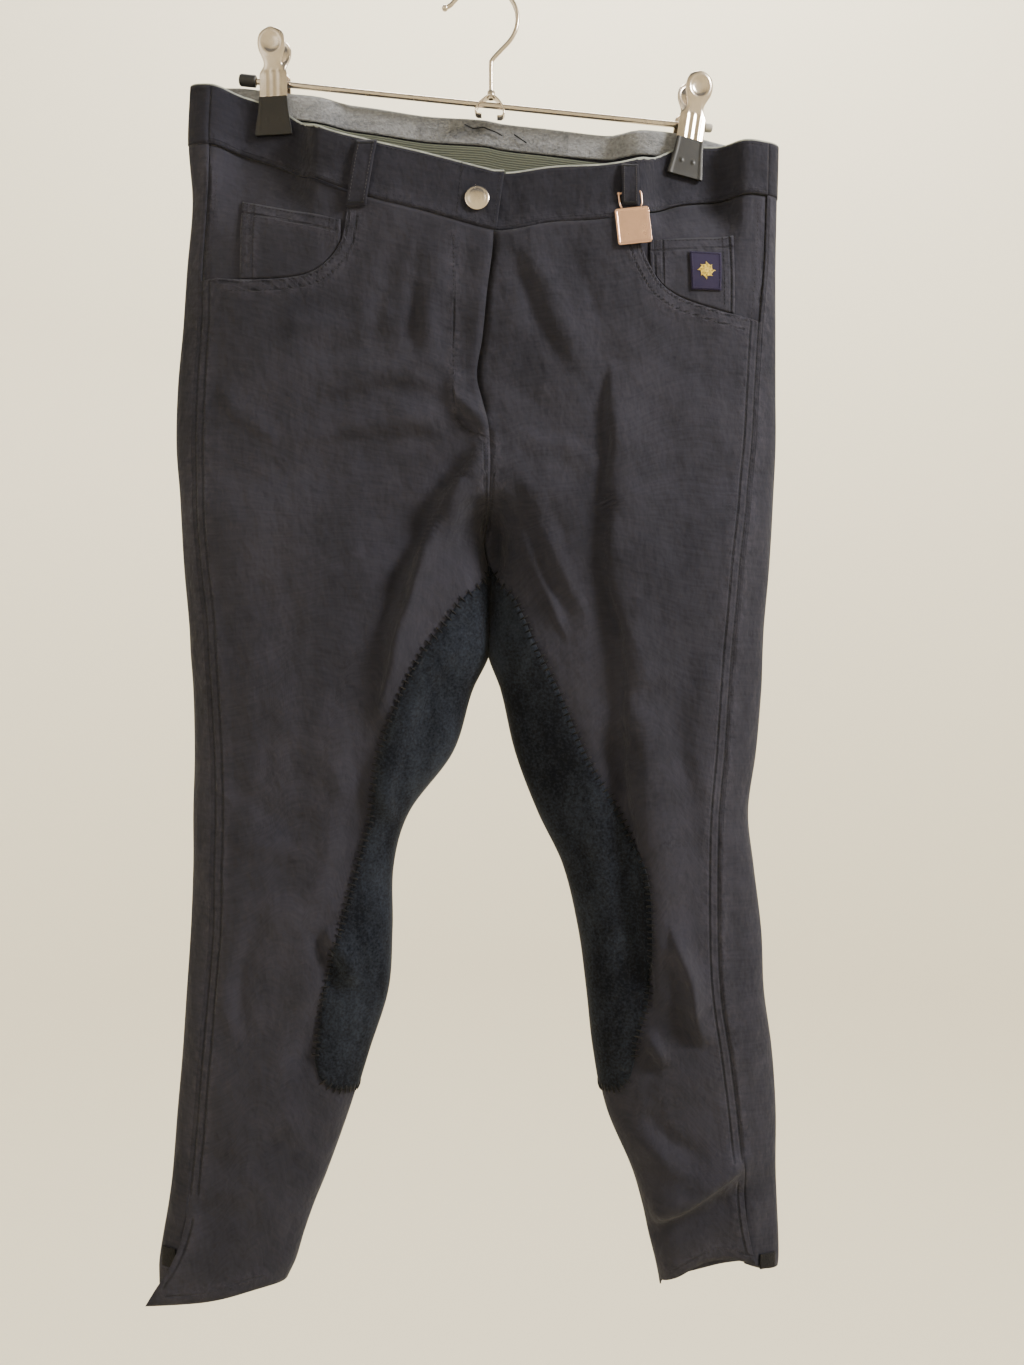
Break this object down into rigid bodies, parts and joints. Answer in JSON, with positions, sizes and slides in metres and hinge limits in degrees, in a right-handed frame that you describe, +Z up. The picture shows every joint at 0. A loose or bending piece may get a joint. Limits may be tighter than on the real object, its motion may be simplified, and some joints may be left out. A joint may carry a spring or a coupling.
{
  "type": "riding breeches hung on a metal clip hanger",
  "caption": "Full-seat riding breeches hung by the waistband from a metal clip hanger, with fly, snap tab, curved pockets, belt loops and slit ankles.",
  "frame": {"origin": "inner top of the hanger's hook, where it rests on a rail", "axes": "+Z up, +X to the viewer's right in the front view (the wearer's left), -Y towards the viewer: the front faces -Y"},
  "size_m": [0.4755, 0.0817, 0.9984],
  "materials": {
    "charcoal_cotton": "matt woven stretch cotton with a faint nap",
    "waistband_cotton": "matt woven stretch cotton, darker",
    "seat_suede": "brushed microsuede",
    "terry": "brushed terry",
    "rib_elastic": "ribbed elastic",
    "badge_cloth": "woven badge with a gold motif",
    "closing_tape": "hook and loop tape",
    "nickel": "warm nickel plate",
    "black_dip": "black vinyl dip, satin",
    "black_cap": "moulded black plastic",
    "grey_cap": "moulded grey plastic",
    "copper": "rose copper plate, satin"
  },
  "bodies": {
    "garment": {"front_right": "charcoal_cotton", "back_right": "charcoal_cotton", "front_left": "charcoal_cotton", "back_left": "charcoal_cotton", "pocket_facing_right": "charcoal_cotton", "pocket_facing_left": "charcoal_cotton", "coin_pocket_right": "charcoal_cotton", "coin_pocket_left": "charcoal_cotton", "fly_shield": "charcoal_cotton", "waistband_front_right": "waistband_cotton", "waistband_front_left": "waistband_cotton", "waistband_back": "waistband_cotton", "belt_loop_right": "waistband_cotton", "belt_loop_left": "waistband_cotton", "belt_loop_back": "waistband_cotton", "seat_patch_right": "seat_suede", "seat_patch_left": "seat_suede", "inner_terry_strip": "terry", "inner_rib_strip": "rib_elastic", "pocket_badge": "badge_cloth", "hook_tape_right": "closing_tape", "hook_tape_left": "closing_tape", "snap_button": "nickel", "hook": "nickel", "rod": "nickel", "saddle": "nickel", "clip_right_handle_front": "nickel", "clip_right_handle_back": "nickel", "clip_right_barrel": "nickel", "clip_left_handle_front": "nickel", "clip_left_handle_back": "nickel", "clip_left_barrel": "nickel", "clip_right_jaw_front": "black_dip", "clip_right_jaw_back": "black_dip", "clip_left_jaw_front": "black_dip", "clip_left_jaw_back": "black_dip", "rod_cap_right": "black_cap", "rod_cap_left": "grey_cap"},
    "plate": {"trim_plate": "copper", "trim_bail": "copper"}
  },
  "joints": [
    {"name": "plate_swing", "type": "hinge", "parent": "garment", "child": "plate", "pos_m": [0.10815, -0.03116, -0.1679], "axis": [-0.9945, 0, -0.1045], "range_deg": [0, 150]}
  ]
}
